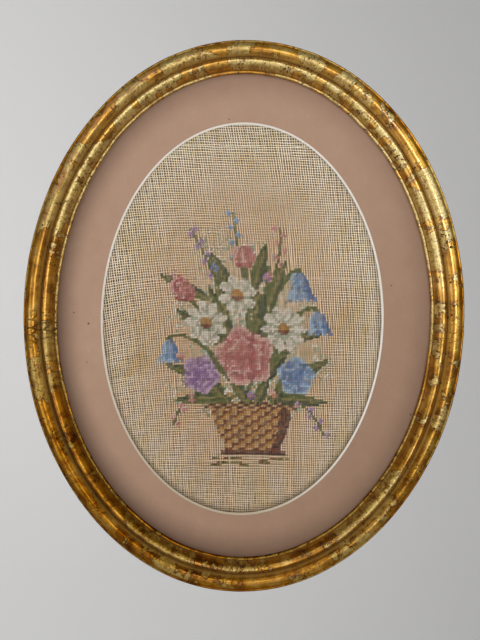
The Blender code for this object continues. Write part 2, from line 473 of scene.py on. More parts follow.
def ageMoulding(piece, turn, inward, height, along, perimeter):
    # attributes that tell the gilding where it is pale, hollow, toned and painted in shade, cracked, worn
    # or varnished
    m = moulding
    radius = perimeter / (2 * math.pi)
    angle = along / radius
    downSide = np.maximum(0, m["filletHeight"] - height) * (inward < m["filletWidth"] / 2)
    rise = np.maximum(0, m["outerSide"][1] - height) * (np.abs(inward - m["outerSide"][0]) < 0.00015)
    across = inward - downSide - rise
    giveAttribute(
        piece, "laidFlat", np.stack([radius * np.cos(angle), radius * np.sin(angle), across], axis=1)
    )
    borders = (-1, m["outerFoot"][0] + 0.0002, m["coveBottom"][0], m["innerFoot"][0], 1)
    distance = np.full(len(turn), farOutside)
    for number, patches in enumerate(paleLeaf.values()):
        chosen = (inward >= borders[number]) & (inward < borders[number + 1])
        distance[chosen] = leafDistance(along[chosen], perimeter, inward[chosen], patches, 20 + number)
    # toning with painted shade, and more of it down the outer side
    toning = np.maximum(toningAndShadeDepth(turn, inward), np.interp(downSide, (0.001, 0.003), (0, 0.5)))
    handled = np.interp(inward, (0.0034, 0.0048, 0.0090, 0.0100, 0.0115, 0.0122), (0, 1, 1, 0, 0, 1))
    hollow = np.interp(inward, (0.0080, 0.0094, 0.0110, 0.0117), (0, 0.9, 0.9, 0))
    hollow += bump(inward, m["innerFoot"][0] + 0.0001, 0.0008) * 0.8 + (height < 0.007) * 0.4
    for name, values in {
        "paleLeaf": np.clip(distance, -2.8, 2.0),
        "worn": toward(turn, 312, 6) * bump(inward, 0.0046, 0.0026),
        "hollow": np.clip(hollow, 0, 1),
        "toning": toning,
        "cracked": np.max([
            depth * bump(along, share / 100 * perimeter, reach) for share, reach, depth in cracks
        ], axis=0),
        "varnish": np.clip(1.1 - 1.6 * toning, 0, 1) * handled,
    }.items():
        giveAttribute(piece, name, values)


def readFaces(items, field):
    values = np.empty(len(items), dtype=np.int32)
    items.foreach_get(field, values)
    return values


def makeMoulding():
    m = moulding
    piece = spinMoulding(mouldingSection())
    place = points(piece)
    turn = np.mod(np.arctan2(place[:, 0], place[:, 2]), 2 * math.pi)
    inward = frameHalfWidth - np.hypot(place[:, 0], place[:, 2])
    height = -place[:, 1]
    along, perimeter = lengthRound(turn)
    drawToOval(piece, turn, inward, height)
    ageMoulding(piece, turn, inward, height, along, perimeter)

    # a flat map of the way along, in metres, that doesn't run back over the join at the top
    mesh = piece.data
    corners = readFaces(mesh.loops, "vertex_index")
    totals = readFaces(mesh.polygons, "loop_total")
    faceOf = np.repeat(np.arange(len(totals)), totals)
    u, v = along[corners], inward[corners]
    farthest = np.zeros(len(totals))
    np.maximum.at(farthest, faceOf, u)
    u = np.where((farthest[faceOf] > perimeter * 0.75) & (u < perimeter * 0.25), u + perimeter, u)
    mesh.uv_layers.new(name="along").data.foreach_set(
        "uv", np.stack([u, v], axis=1).astype(np.float32).ravel()
    )

    # the back and the rabbet are bare wood
    mesh.materials.append(gildedMaterial())
    mesh.materials.append(rawWoodMaterial())
    faceHeight = np.bincount(faceOf, height[corners]) / totals
    faceInward = np.bincount(faceOf, v) / totals
    hair = 0.0002
    inRabbet = faceInward > m["width"] - m["rabbetWidth"] - hair
    behind = (faceHeight < hair) | inRabbet & (faceHeight < m["rabbetDepth"] + hair)
    mesh.polygons.foreach_set("material_index", behind.astype(np.int32))
    bpy.ops.object.shade_smooth_by_angle(angle=math.radians(50))
    finishPiece(piece, ["gilt_frame"])
    print("moulding spun:", len(mesh.polygons), "faces")


makeMoulding()

# The mount card and the board at the back

card = {
    "windowHalfWidth": 0.085,
    "windowHalfHeight": 0.118,
    "bevel": 0.00115,  # how far in the cut slopes, steeper than 45 degrees
    "sides": 192,
    "sightHalfWidth": 0.112,
    "sightHalfHeight": 0.145,
    "specks": ((-0.0923, -0.0047, 0.0009), (0.1024, -0.0556, 0.0008), (0.0892, 0.0216, 0.0006),
               (-0.0102, 0.1196, 0.0006), (-0.1013, 0.0018, 0.0006), (-0.0928, -0.0280, 0.0005)),
}


def cardPaperMaterial():
    # mount board faced with dyed rag paper: quite matt, its dye a little clouded, with short
    # pressed fibres and a few old fly specks
    material, shader, add = newMaterial("mount board face paper")
    place = (add("TexCoord", {}), "Object")
    cloud = add("TexNoise", {}, place, 1 / 0.011, 4.0, 0.62)
    felt = add("TexNoise", {}, place, 1 / 0.0016, 3.0, 0.6)
    colour = add("ValToRGB", {}, add("Mix", {"data_type": "FLOAT"}, 0.35, cloud, felt), stops=(
        (0.3, "#A68570"), (0.44, "#AA8A74"), (0.56, "#AC8C76"), (0.7, "#B0917B"),
    ))
    for x, z, size in card["specks"]:
        spot = (windowX + x, -cardFace, windowZ + z)
        apart = add("VectorMath", {"operation": "DISTANCE"}, place, spot)
        colour = add(
            "Mix", blend, add("MapRange", {}, apart, size * 0.4, size, 0.8, 0.0), colour, "#4A3226",
        )
    # painted shade: the face is lighter toward the upper left and darker toward the lower right
    fromMiddle = add("Mapping", {}, place, (-cardX, 0, -cardZ))
    squashed = add(
        "Mapping", {}, fromMiddle, scale=(1 / card["sightHalfWidth"], 0.0, 1 / card["sightHalfHeight"]),
    )
    shadedLowRight = add("VectorMath", {"operation": "DOT_PRODUCT"}, squashed, (0.57, 0.0, -0.82))
    colour = add("Mix", stain, add("MapRange", {}, shadedLowRight, -0.3, 0.85), colour, "#E4E1DC")
    # painted shade and dust along the moulding, most at the left and below
    reach = add("VectorMath", {"operation": "LENGTH"}, squashed)
    side = add("VectorMath", {"operation": "DOT_PRODUCT"}, squashed, (-0.23, 0.0, -0.13))
    most = add("Math", {"operation": "ADD"}, side, 0.42)
    shadeAndDust = add("Math", timesClamped, add("MapRange", softly, reach, 0.87, 1.02), most)
    setInputs(
        shader, baseColor=add("Mix", stain, shadeAndDust, colour, "#452810"), roughness=0.88,
        specularIorLevel=0.3, normal=add("Bump", {}, 0.35, 0.00012, height=felt),
    )
    return material


def cardCoreMaterial():
    # the bleached pulp core that a bevelled cut lays open: bright white, faintly layered
    material, shader, add = newMaterial("white card core")
    place = (add("TexCoord", {}), "Object")
    ply = add("TexNoise", {}, add("Mapping", {}, place, scale=(260.0, 5200.0, 260.0)), 1.0, 2.0)
    colour = add("ValToRGB", {}, ply, stops=((0.3, "#E8E2D8"), (0.6, "#F6F1E8")))
    # the cut is darker where it faces up, most toward the lower left
    fromWindow = add("Mapping", {}, place, (-windowX, 0, -windowZ), scale=(1.0, 0.0, 0.72))
    outward = add("VectorMath", {"operation": "NORMALIZE"}, fromWindow)
    lowLeft = add("VectorMath", {"operation": "DOT_PRODUCT"}, outward, (-0.42, 0.0, -0.91))
    darkened = add("MapRange", softly, lowLeft, -0.7, 1.0)
    setInputs(shader, baseColor=add("Mix", stain, darkened, colour, "#CCC3AF"), roughness=0.9)
    return material


def brownBoardMaterial():
    # hardboard, pressed from wet wood fibre: mid brown, fibrous and dull
    material, shader, add = newMaterial("brown hardboard")
    place = (add("TexCoord", {}), "Object")
    fibre = add("TexNoise", {}, place, 1 / 0.0018, 5.0, 0.7, distortion=1.2)
    cloud = add("TexNoise", {}, place, 1 / 0.025, 3.0)
    mixed = add("Mix", {"data_type": "FLOAT"}, 0.4, fibre, cloud)
    colour = add("ValToRGB", {}, mixed, stops=((0.32, "#281B0D"), (0.5, "#38260F"), (0.68, "#4C3618")))
    surface = add("Bump", {}, 0.5, 0.0002, height=fibre)
    setInputs(shader, baseColor=colour, roughness=0.8, normal=surface)
    return material


def carryOval(current, target):
    # the selected oval is drawn out to another one, leaving a band of faces behind it
    # an oval is its half width, half height, centre x, centre z and height
    bpy.ops.mesh.extrude_edges_move()
    bpy.ops.transform.resize(
        value=(target[0] / current[0], 1, target[1] / current[1]),
        center_override=(current[2], -current[4], current[3]),
    )
    bpy.ops.transform.translate(
        value=(target[2] - current[2], current[4] - target[4], target[3] - current[3])
    )


def makeMountCard():
    # the window is smaller at the back, where the cut slopes in
    wide, high, middle = card["windowHalfWidth"], card["windowHalfHeight"], (windowX, windowZ)
    rim = (cardHalfWidth, cardHalfHeight, cardX, cardZ)
    frontWindow = (wide, high, *middle, cardFace)
    backWindow = (wide - card["bevel"], high - card["bevel"], *middle, cardBack)
    bpy.ops.object.select_all(action="DESELECT")
    bpy.ops.mesh.primitive_circle_add(
        vertices=card["sides"], radius=1.0, location=(windowX, -cardFace, windowZ),
        rotation=(math.pi / 2, 0, 0),
    )
    piece = beginPiece("mount_card")
    selectAll()
    bpy.ops.transform.resize(value=(wide, 1, high), center_override=(windowX, -cardFace, windowZ))
    way = (frontWindow, (*rim, cardFace), (*rim, cardBack), backWindow, frontWindow)
    for current, target in zip(way, way[1:]):
        carryOval(current, target)
    closeMesh(0.00001)
    piece.data.materials.append(cardPaperMaterial())
    piece.data.materials.append(cardCoreMaterial())
    for face in piece.data.polygons:
        face.material_index = 0 if face.normal.y < -0.99 else 1
    bpy.ops.object.shade_smooth_by_angle(angle=math.radians(30))
    finishPiece(piece, ["mount_board"])
    print("mount card cut:", len(piece.data.polygons), "faces")


makeMountCard()
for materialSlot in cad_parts["backing_board"].material_slots:
    materialSlot.material = brownBoardMaterial()


# The canvas, woven of warp and weft threads that pass over and under each other

canvas = {
    "pitch": 0.0254 / 18,  # 18 threads to the inch
    "columns": 80,  # threads to each side of the middle, before the oval is cut
    "rows": 98,
    "warpWidth": 0.00058,
    "weftWidth": 0.00050,
    "threadThickness": 0.00045,
    "middleHeight": 0.00365,
    "lean": (0.108, 0.34),  # how far the warp leans left, per metre up and per metre squared
    "fan": 0.22,  # and how much less it leans farther right
    "narrow": (0.975, 0.25),  # spacing of the warp at the middle, and its change per metre up
    "widen": (1.01, 0.22),  # spacing of the weft at the middle, and its growth farther up
    "dropFrom": -0.020,  # left of this place the weft sinks away, most at the middle
    "drop": 2.0,
    "dropReach": 0.065,
    "spacingStray": 0.00008,
    "wander": 0.00009,
    "distortion": 0.0007,
    "distortionSize": 0.045,
    "widthStray": 0.12,
    "tingeReach": (0.066, 0.088),  # half width and height of the warm tinge round the stitching
    "sightReach": (0.0836, 0.1166),  # and of what shows inside the card
}


def threadStray(draw, count, along):
    # how far each thread of a set lies to one side: a step of its own, and slow bends along it
    total = draw.normal(0, canvas["spacingStray"], (count, 1)) + np.zeros((count, len(along)))
    for shortest, longest in ((0.010, 0.018), (0.018, 0.035)):
        length = draw.uniform(shortest, longest, (count, 1))
        phase = draw.uniform(0, 2 * math.pi, (count, 1))
        total += canvas["wander"] * np.sin(2 * math.pi * along / length + phase)
    return total


def weaveCrossings():
    # where each column of the weave crosses each row, as one table of x and one of z
    c = canvas
    draw = np.random.default_rng(7)
    noise.seed_set(7)  # noise_vector takes a new start from the clock otherwise
    column = np.arange(-c["columns"], c["columns"] + 1) * c["pitch"]
    row = np.arange(-c["rows"], c["rows"] + 1) * c["pitch"]
    x, z = np.meshgrid(column, row, indexing="ij")
    drawn = np.array([
        noise.noise_vector(Vector((px, pz, 0.31)) / c["distortionSize"])
        for px, pz in zip(x.ravel(), z.ravel())
    ]).reshape(*x.shape, 3) * c["distortion"]
    leaning = c["lean"][0] * z + c["lean"][1] * z * z - c["fan"] * x * z
    spread = x * (c["narrow"][0] - 1 + c["narrow"][1] * z)
    sunk = c["drop"] * np.maximum(0, c["dropFrom"] - x) ** 2 * np.exp(-(z / c["dropReach"]) ** 2)
    warpStray = threadStray(draw, len(column), row)
    weftStray = threadStray(draw, len(row), column).T
    return (
        windowX + x + spread - leaning + drawn[:, :, 0] + warpStray,
        windowZ + (c["widen"][0] + c["widen"][1] * z) * z - sunk + drawn[:, :, 1] + weftStray,
    )


def cottonMaterial():
    # unbleached cotton canvas, sized and gone yellow: dull cream threads of twisted yarn, each a
    # little darker or paler, with age stains and a warm tinge where dye has crept from the wool
    material, shader, add = newMaterial("yellowed cotton canvas")
    place = (add("TexCoord", {}), "Object")
    tone = (add("Attribute", {"attribute_name": "tone"}), "Fac")
    strand = (add("Attribute", {"attribute_name": "strand"}), "Vector")
    thread = add("ValToRGB", {}, tone, stops=(
        (0.1, "#D8C49F"), (0.4, "#EDDCBD"), (0.65, "#F6E7CE"), (0.95, "#FDF3E1"),
    ))
    cloud = add("TexNoise", {}, place, 1 / 0.026, 3.0, 0.55)
    age = add("ValToRGB", {}, cloud, stops=(
        (0.3, "#F1EACB"), (0.46, "#FFFCF6"), (0.56, "#FDF0E8"), (0.72, "#F5DFC6"),
    ))
    # the tinge lies in a loose oval round the stitching
    fromPosy = add("Mapping", {}, place, (-windowX, 0, -windowZ))
    toTinge, toCard = (
        add("Mapping", {}, fromPosy, scale=(1 / wide, 0.0, 1 / high))
        for wide, high in (canvas["tingeReach"], canvas["sightReach"])
    )
    reach = add("Math", timesPlus, cloud, 0.9, add("VectorMath", {"operation": "LENGTH"}, toTinge))
    tinge = add("MapRange", softly, reach, 1.1, 1.7, 0.4, 0.0)
    # painted shadow of the card: the canvas is greyer just inside the card, most low down
    nearCard = add("VectorMath", {"operation": "LENGTH"}, toCard)
    lowSide = add("VectorMath", {"operation": "DOT_PRODUCT"}, toCard, (0.1, 0.0, -1.0))
    cardShadowAmount = add("MapRange", {}, lowSide, -0.8, 1.0, 0.0, 0.6)
    darkened = add("Math", times, add("MapRange", {}, nearCard, 0.965, 1.0), cardShadowAmount)
    # and painted shade: browner low down
    lowShade = add("MapRange", {}, (add("SeparateXYZ", {}, toCard), "Z"), -0.9, 0.3, 0.4, 0.0)
    # painted shade along the sides of every thread, as on a round thread, deepest low down
    aside = add("Math", {"operation": "ABSOLUTE"}, (add("SeparateXYZ", {}, strand), "Y"))
    threadSideShade = add("MapRange", {}, aside, 0.00016, 0.00028, 0.0, 0.42)
    sideShade = add("Math", timesPlusClamped, lowShade, threadSideShade, threadSideShade)
    colour = thread
    for amount, shade in (
        (0.5, age), (tinge, "#F2CBA2"), (darkened, "#6E5E46"), (lowShade, "#C6A98A"), (sideShade, "#705434"),
    ):
        colour = add("Mix", stain, amount, colour, shade)
    # two plies twisted together, drawn at twice their real pitch of 0.5 mm so that they show
    twist = add("Mapping", {}, strand, scale=(1 / 0.001, 1 / 0.0011, 0.0))
    ply = (add("TexWave", {"bands_direction": "DIAGONAL"}, twist, 0.32, 1.5, 1.0), "Fac")
    fuzz = add("TexNoise", {}, place, 1 / 0.0004, 2.0)
    surface = add("Bump", {}, 0.5, 0.00008, height=add("Math", timesPlus, fuzz, 0.6, ply))
    setInputs(
        shader, baseColor=colour, roughness=0.86, specularIorLevel=0.3, sheenWeight=0.15, normal=surface,
    )
    return material


def addArray(piece, count, offset, merged):
    bpy.ops.object.modifier_add(type="ARRAY")
    array = piece.modifiers[-1]
    array.count = count
    array.use_relative_offset = False
    array.use_constant_offset = True
    array.constant_offset_displace = offset
    array.use_merge_vertices = merged
    array.merge_threshold = 0.00001
    bpy.ops.object.modifier_apply(modifier=array.name)


def layThreads(name, upright):
    # one short length of a four-sided thread is repeated along and across
    pitch, width = canvas["pitch"], canvas["warpWidth" if upright else "weftWidth"]
    steps, threads = (canvas[way] for way in (("rows", "columns") if upright else ("columns", "rows")))
    bpy.ops.object.select_all(action="DESELECT")
    bpy.ops.mesh.primitive_circle_add(
        vertices=4, radius=width / math.sqrt(2), location=(-threads * pitch, 0, -steps * pitch),
        rotation=(0, 0, math.pi / 4),
    )
    piece = beginPiece(name)
    selectAll()
    bpy.ops.transform.resize(
        value=(1, canvas["threadThickness"] / width, 1), center_override=(0, 0, 0)
    )
    bpy.ops.mesh.extrude_edges_move(TRANSFORM_OT_translate={"value": (0, 0, pitch)})
    bpy.ops.object.mode_set(mode="OBJECT")
    addArray(piece, 2 * steps, (0, 0, pitch), True)
    addArray(piece, 2 * threads + 1, (pitch, 0, 0), False)
    return piece, steps, threads


def weaveThreads(name, upright, crossX, crossZ, material):
    # each ring of a thread's points goes to its crossing, in front of or behind the thread there
    c, pitch = canvas, canvas["pitch"]
    piece, steps, threads = layThreads(name, upright)
    place = points(piece)
    thread = np.rint(place[:, 0] / pitch).astype(int)
    step = np.rint(place[:, 2] / pitch).astype(int)
    sideways = place[:, 0] - thread * pitch
    column, row = (thread, step) if upright else (step, thread)
    overUnder = np.where((column + row) % 2 == 0, 1, -1) * (1 if upright else -1)
    draw = np.random.default_rng(17 if upright else 18)
    ownWidth = draw.normal(1, c["widthStray"] / 2, 2 * threads + 1)[thread + threads]
    slub = draw.normal(0, 1, (2 * threads + 1, 2 * steps + 3))
    slub = (slub[:, :-2] + slub[:, 1:-1] + slub[:, 2:])[thread + threads, step + steps] / 3
    aside = sideways * ownWidth * (1 + c["widthStray"] * slub)
    x, z = (cross[column + c["columns"], row + c["rows"]] for cross in (crossX, crossZ))
    height = c["middleHeight"] + overUnder * c["threadThickness"] / 2 - place[:, 1]
    movePoints(piece, x + aside * upright, -height, z + aside * (not upright))
    tone = draw.normal(0.55, 0.10, 2 * threads + 1)[thread + threads] + 0.16 * slub
    # painted shade: each thread is a shade darker where it passes under the other set and lighter where it
    # lies over it
    giveAttribute(piece, "tone", np.clip(tone + 0.04 * overUnder, 0, 1))
    start = draw.uniform(0, 0.01, 2 * threads + 1)[thread + threads]
    giveAttribute(piece, "strand", np.stack([step * pitch + start, sideways, place[:, 1]], axis=1))

    # what lies outside the oval is cut away, and the threads' ends are closed
    outside = ((x - windowX) / canvasHalfWidth) ** 2 + ((z - windowZ) / canvasHalfHeight) ** 2 > 1
    selectPoints(piece, outside)
    bpy.ops.mesh.delete(type="VERT")
    bpy.ops.mesh.select_all(action="SELECT")
    bpy.ops.mesh.delete_loose(use_faces=False)
    bpy.ops.mesh.select_all(action="SELECT")
    bpy.ops.mesh.fill_holes(sides=4)
    bpy.ops.mesh.select_all(action="SELECT")
    bpy.ops.mesh.normals_make_consistent(inside=False)
    bpy.ops.object.mode_set(mode="OBJECT")
    bpy.ops.object.shade_smooth()
    piece.data.materials.append(material)
    return piece


crossX, crossZ = weaveCrossings()
cotton = cottonMaterial()
warp = weaveThreads("canvas_warp", True, crossX, crossZ, cotton)
finishPiece(warp, ["canvas"])
weft = weaveThreads("canvas_weft", False, crossX, crossZ, cotton)
finishPiece(weft)
print("canvas woven:", len(warp.data.polygons), "and", len(weft.data.polygons), "faces")


# The posy, worked in tent stitch from a chart of crossings: column and row from the middle

yarnShades = {
    "rose_deep": "#B4585F", "rose_mid": "#CC8380", "rose_pale": "#DDAFA5",
    "blue_deep": "#4C76AC", "blue_mid": "#7199C4", "blue_pale": "#A3BFD8",
    "lilac_deep": "#86609A", "lilac_mid": "#A683B3", "lilac_pale": "#C4A9C8",
    "cream": "#E4DECF", "sage": "#A9B79C",
    "leaf_dark": "#2C4A2A", "leaf_mid": "#54682C", "olive": "#86803A",
    "ochre": "#BE8838", "straw": "#CBA672", "rust": "#7A3B21", "maroon": "#46201C",
}
rose, blue, lilac = (
    tuple(name + depth for depth in ("_deep", "_mid", "_pale")) for name in ("rose", "blue", "lilac")
)

chart = {}


def stitch(column, row, shade):
    chart[(int(round(column)), int(round(row)))] = shade


def near(column, row, reach):
    # the crossings within reach of a place, each with its distance and bearing from it
    for c in range(math.floor(column - reach), math.ceil(column + reach) + 1):
        for r in range(math.floor(row - reach), math.ceil(row + reach) + 1):
            away = math.hypot(c - column, r - row)
            if away <= reach:
                yield c, r, away, math.atan2(r - row, c - column)


def alongBend(t, start, bend, end):
    return [(1 - t) ** 2 * a + 2 * t * (1 - t) * b + t * t * c for a, b, c in zip(start, bend, end)]


def workStem(start, bend, end, shade, thick=1):
    for step in range(60):
        column, row = alongBend(step / 59, start, bend, end)
        for extra in range(thick):
            stitch(column + extra, row, shade)


def workLeaf(start, end, halfWidth, shades=("leaf_dark", "leaf_mid", "olive")):
    # one side in shadow, the other lit, with a paler vein along the middle
    along = (end[0] - start[0], end[1] - start[1])
    length = math.hypot(*along)
    along = (along[0] / length, along[1] / length)
    middle = ((start[0] + end[0]) / 2, (start[1] + end[1]) / 2)
    for c, r, _, _ in near(*middle, length / 2 + halfWidth):
        t = ((c - start[0]) * along[0] + (r - start[1]) * along[1]) / length
        side = (c - start[0]) * along[1] - (r - start[1]) * along[0]
        if 0 <= t <= 1 and abs(side) <= halfWidth * math.sin(math.pi * t ** 0.8) ** 0.8 + 0.3:
            vein = abs(side) < 0.55 and t < 0.85
            stitch(c, r, shades[2] if vein else shades[0] if side > 0 else shades[1])


def workPeony(column, row, reach, turn, shades=rose):
    # a ring of five outer petals, a ring of three inner ones and a curled heart
    deep, mid, pale = shades
    for c, r, away, bearing in near(column, row, reach * 1.1):
        outer = reach * (0.93 + 0.09 * math.cos(5 * (bearing - turn)))
        if away > outer:
            continue
        if away > 0.62 * outer:
            petal, rim = math.cos(5 * (bearing - turn)), (away / outer - 0.62) / 0.38
            shade = deep if petal < -0.9 or rim < 0.16 else pale if rim > 0.55 else mid
        elif away > 0.3 * outer:
            petal, rim = math.cos(3 * (bearing - turn) + 1.4), (away / outer - 0.3) / 0.32
            shade = deep if petal < -0.86 or rim < 0.2 else pale if rim > 0.6 else mid
        else:
            shade = mid if math.cos(2 * bearing + away * 1.3) > 0.1 else deep
        stitch(c, r, shade)


def workDaisy(column, row, reach, petals, turn, shades=("cream", "sage", "ochre", "rust")):
    for c, r, away, bearing in near(column, row, reach):
        between = abs(math.cos(petals / 2 * (bearing - turn)))
        if away <= reach * 0.27:
            stitch(c, r, shades[3] if r < row - reach * 0.08 else shades[2])
        elif away <= reach * (0.58 + 0.42 * between ** 0.6):
            stitch(c, r, shades[1] if between < 0.34 or away < reach * 0.4 and r < row else shades[0])


def cup(column, tall, lean, halfWidth):
    # the crossings of a leaning cup: column, share of its length, place from side to side, centre
    for step in range(int(tall * 2) + 1):
        t = step / (tall * 2)
        half, centre = tall * halfWidth(t), column + lean * tall * t
        for c in range(math.ceil(centre - half), math.floor(centre + half) + 1):
            yield c, t, (c - centre) / half, int(centre)


def bellHalf(t):
    return 0.2 + 0.2 * min(1, t * 2.6) ** 0.6 + 0.22 * max(0, t - 0.62) / 0.38


def workBell(column, row, tall, lean):
    # a hanging bell with a flared rim, lit from the left, under a small green cap
    deep, mid, pale = blue
    for c, t, side, centre in cup(column, tall, lean, bellHalf):
        rib = abs(side - 0.12) < 0.16 and t > 0.25
        if t <= 0.93 or (c - centre) % 3 != 1:
            stitch(c, row - tall * t, pale if side < -0.45 or rib else deep if side > 0.5 else mid)
    for c in range(-1, 2):
        stitch(column + c, row + 1, "leaf_mid")
    stitch(column, row + 2, "leaf_dark")


def tulipHalf(t):
    return 0.12 + 0.34 * math.sin(math.pi * min(1, t * 1.15 + 0.08)) ** 0.8


def workTulip(column, row, tall, lean):
    # a cup that opens upwards, its three points apart at the top
    deep, mid, pale = rose
    for c, t, side, _ in cup(column, tall, lean, tulipHalf):
        edge = abs(abs(side) - 0.42) < 0.14
        if t <= 0.78 or abs(abs(side) - 0.5) >= 0.2 + (t - 0.78):
            stitch(c, row + tall * t, deep if edge or t < 0.12 else pale if side < 0 else mid)


def workFloret(column, row, petal, shadow):
    for c, r in ((0, 1), (-1, 0), (0, 2), (-1, 1), (1, 1)):
        stitch(column + c, row + r, petal)
    for c, r in ((1, 0), (0, -1), (1, -1), (2, 0)):
        stitch(column + c, row + r, shadow)
    stitch(column, row, "ochre")


def workSpray(start, bend, end, florets, shades):
    workStem(start, bend, end, "leaf_mid")
    for i in range(florets):
        column, row = alongBend(0.3 + 0.7 * i / (florets - 1), start, bend, end)
        side = 1.6 if i % 2 else -1.6
        for c, r in ((0, 0), (1, 0), (0, 1), (-1, 0), (0, -1)):
            stitch(column + side + c, row + r, shades[2] if (c, r) in ((0, 1), (-1, 0)) else shades[1])


def workFiller(column, row, reach, share, rng):
    # a lacy ground of single stitches in the gaps
    for c, r, away, _ in near(column, row, reach):
        if (c, r) not in chart and rng.random() < share * (1.15 - away / reach):
            chart[(c, r)] = "cream" if rng.random() < 0.4 else "sage"


def workBasket(column, top, deep, halfTop, halfFoot):
    # wicker in blocks of three stitches, over and under by turns, with a twisted rim and foot
    for step in range(deep):
        half = halfTop + (halfFoot - halfTop) * (step / (deep - 1)) ** 1.5
        for c in range(math.ceil(column - half), math.floor(column + half) + 1):
            block = (math.floor((c - column) / 3) + step // 2) % 2
            shade = ("straw", "ochre")[block]
            if (c - column) % 3 == 0 or step % 2 == 0 and block:
                shade = "rust" if block else "ochre"
            if (c - column) / half > 0.72:
                shade = "maroon" if block else "rust"
            stitch(c, top - step, shade)
    for c in range(-int(halfTop) - 2, int(halfTop) + 3):
        for r in (0, 1, 2):
            twist = (c + 2 * r) % 5
            stitch(column + c, top + r, "maroon" if twist == 0 else "straw" if twist in (2, 3) else "rust")
    for c in range(-int(halfFoot) - 2, int(halfFoot) + 3):
        stitch(column + c, top - deep, "rust" if c % 4 else "maroon")
        stitch(column + c, top - deep - 1, "maroon")


def workTurf(column, row, halfWide, rng):
    for _ in range(15):
        c, r = column + rng.uniform(-halfWide, halfWide), row - rng.integers(0, 4)
        for extra in range(int(rng.integers(2, 6))):
            stitch(c + extra, r, ("olive", "leaf_mid", "rust")[int(rng.integers(0, 3))])


def blendShades(rng):
    # a worker blends shades of one colour by hand, so here and there a stitch takes its neighbour's
    for (column, row), shade in sorted(chart.items()):
        beside = chart.get((column + int(rng.integers(-1, 2)), row + int(rng.integers(-1, 2))))
        if beside and beside.split("_")[0] == shade.split("_")[0] and rng.random() < 0.3:
            chart[(column, row)] = beside


def workEach(work, *each):
    for values in each:
        work(*values)


def drawPosy():
    rng = np.random.default_rng(11)
    workBasket(1, -38, 19, 18, 12)
    workTurf(-3, -60, 20, rng)
    for start, bend, end in (
        ((0, -36), (2, -5), (3, 24)), ((-2, -36), (-10, -14), (-22, 8)),
        ((-4, -34), (-16, -6), (-32, -7)), ((4, -36), (10, 14), (26, 21)),
        ((6, -34), (16, 4), (32, 5)), ((-3, -30), (-6, 6), (-12, 24)), ((5, -30), (10, 6), (13, 22)),
    ):
        workStem(start, bend, end, "leaf_mid", 2)
    workEach(
        workLeaf,
        ((-6, -33), (-33, -35), 2.4), ((8, -33), (35, -35), 2.4), ((-10, -30), (-35, -19), 2.6),
        ((13, -28), (37, -17), 2.4), ((-8, -10), (-29, 4), 2.6), ((10, -10), (37, -5), 2.2),
        ((-3, 10), (-11, 28), 2.6), ((6, 12), (13, 31), 2.6), ((-14, 8), (-34, 19), 2.2),
        ((12, 6), (21, 24), 2.4), ((-2, -20), (-13, 13), 2.8), ((2, -16), (11, 11), 2.8),
        ((-4, -26), (-16, -14), 3.2), ((6, -26), (19, -13), 3.2), ((-8, -36), (-17, -28), 2.4),
        ((10, -36), (17, -27), 2.4), ((-1, -36), (-6, -26), 2.2), ((3, -36), (9, -26), 2.2),
        ((-7, 2), (-9, 14), 3.0), ((6, 0), (8, 12), 3.0),
    )
    workEach(
        workSpray,
        ((-8, 8), (-12, 26), (-18, 37), 8, lilac), ((2, 18), (0, 32), (1, 44), 7, blue),
        ((12, 10), (20, 26), (20, 38), 7, rose), ((-16, -30), (-30, -34), (-34, -45), 6, rose),
        ((16, -32), (30, -38), (33, -49), 6, lilac),
    )
    workEach(workTulip, (-24, 8, 12, -0.25), (3, 22, 11, 0.05))
    workEach(workBell, (26, 19, 11, 0.1), (33, 3, 9, 0.1), (-33, -9, 9, -0.05))
    workEach(workDaisy, (-16, -2, 9.5, 9, 0.3), (18, -4, 10, 10, 0.0), (-1, 10, 8.5, 8, 0.2))
    workEach(workPeony, (0, -16, 13, 0.5), (-20, -24, 8.5, 1.1, lilac), (22, -24, 8.5, 0.2, blue))
    workEach(
        workFloret,
        (-10, 21, "blue_mid", "blue_deep"), (12, 17, "lilac_mid", "lilac_deep"),
        (-29, -16, "rose_pale", "rose_mid"), (31, -12, "cream", "sage"), (-9, -32, "cream", "straw"),
        (11, -32, "rose_pale", "rose_mid"), (1, -33, "lilac_mid", "lilac_deep"),
    )
    for column, row, reach, share in (
        (-8, 30, 10, 0.3), (10, 28, 10, 0.3), (-27, 2, 9, 0.35), (31, -20, 9, 0.4),
        (-29, -32, 9, 0.35), (28, 6, 9, 0.3), (0, 0, 27, 0.7), (0, -28, 26, 0.7),
    ):
        workFiller(column, row, reach, share, rng)
    blendShades(rng)


yarn = {
    "width": 0.00098,
    "thickness": 0.00050,
    "height": 0.00434,
    "lengthOver": 0.94,
    "widthStray": 0.12,
    "turnStray": 0.05,
    "segments": 8,
    "rings": 5,
}


def yarnMaterial(shade, colour):
    # crewel wool of two loose plies: no shine, a soft halo of fibre, darker between the plies,
    # and faded by light, so that each stitch differs a little from the next
    material, shader, add = newMaterial("crewel wool " + shade.replace("_", " "))
    tone = (add("Attribute", {"attribute_name": "tone"}), "Fac")
    strand = (add("Attribute", {"attribute_name": "strand"}), "Vector")
    fibreWay = add("Mapping", {}, strand, scale=(1 / 0.0012, 1 / 0.00022, 1 / 0.00022))
    fibre = add("TexNoise", {}, fibreWay, 1.0, 2.0, 0.6)
    light = add("ValToRGB", {}, add("Math", timesPlus, fibre, 0.45, tone), stops=(
        (0.35, "#A8A29C"), (0.7, "#F2F0EE"), (1.0, "#FFFFFF"),
    ))
    setInputs(
        shader, baseColor=add("Mix", stain, 1.0, colour, light), roughness=0.92,
        specularIorLevel=0.25, sheenWeight=0.25, normal=add("Bump", {}, 0.6, 0.00007, height=fibre),
    )
    return material


